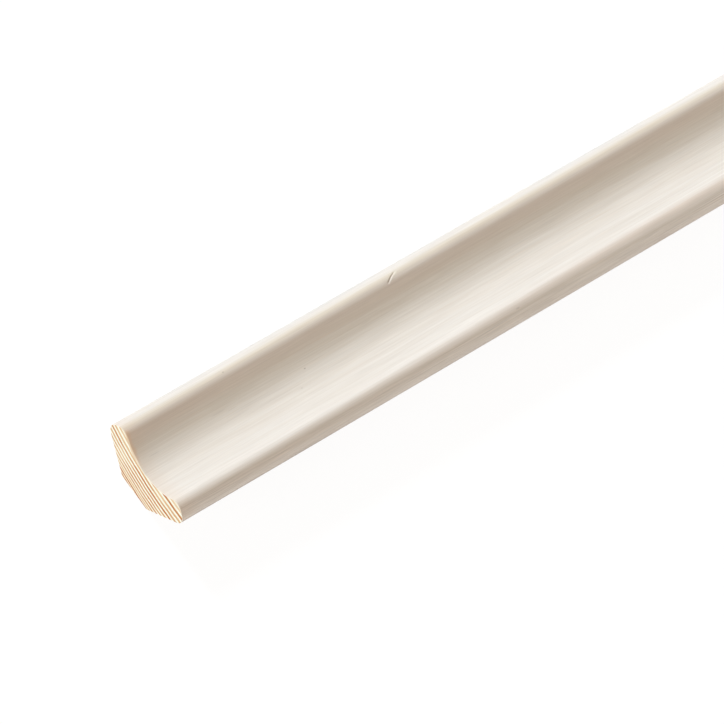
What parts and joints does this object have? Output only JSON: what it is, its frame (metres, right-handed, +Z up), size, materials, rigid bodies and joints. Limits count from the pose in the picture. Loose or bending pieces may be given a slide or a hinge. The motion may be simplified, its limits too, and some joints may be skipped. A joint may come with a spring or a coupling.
{
  "type": "cornice moulding",
  "caption": "Length of white-glazed pine cornice with a cove front between two rounded lips and a 45 degree contact face behind each lip, to cover the angle between a wall and a ceiling.",
  "frame": {"origin": "under the middle of the length, on the flat back that it lies on", "axes": "+X along the length, +Y across towards one lip, +Z up out of the cove"},
  "size_m": [2.4, 0.042, 0.021],
  "materials": {
    "white_glazed_pine": "satin white glaze on planed pine, raw end grain"
  },
  "bodies": {
    "root": {"cornice_moulding": "white_glazed_pine"}
  },
  "joints": []
}
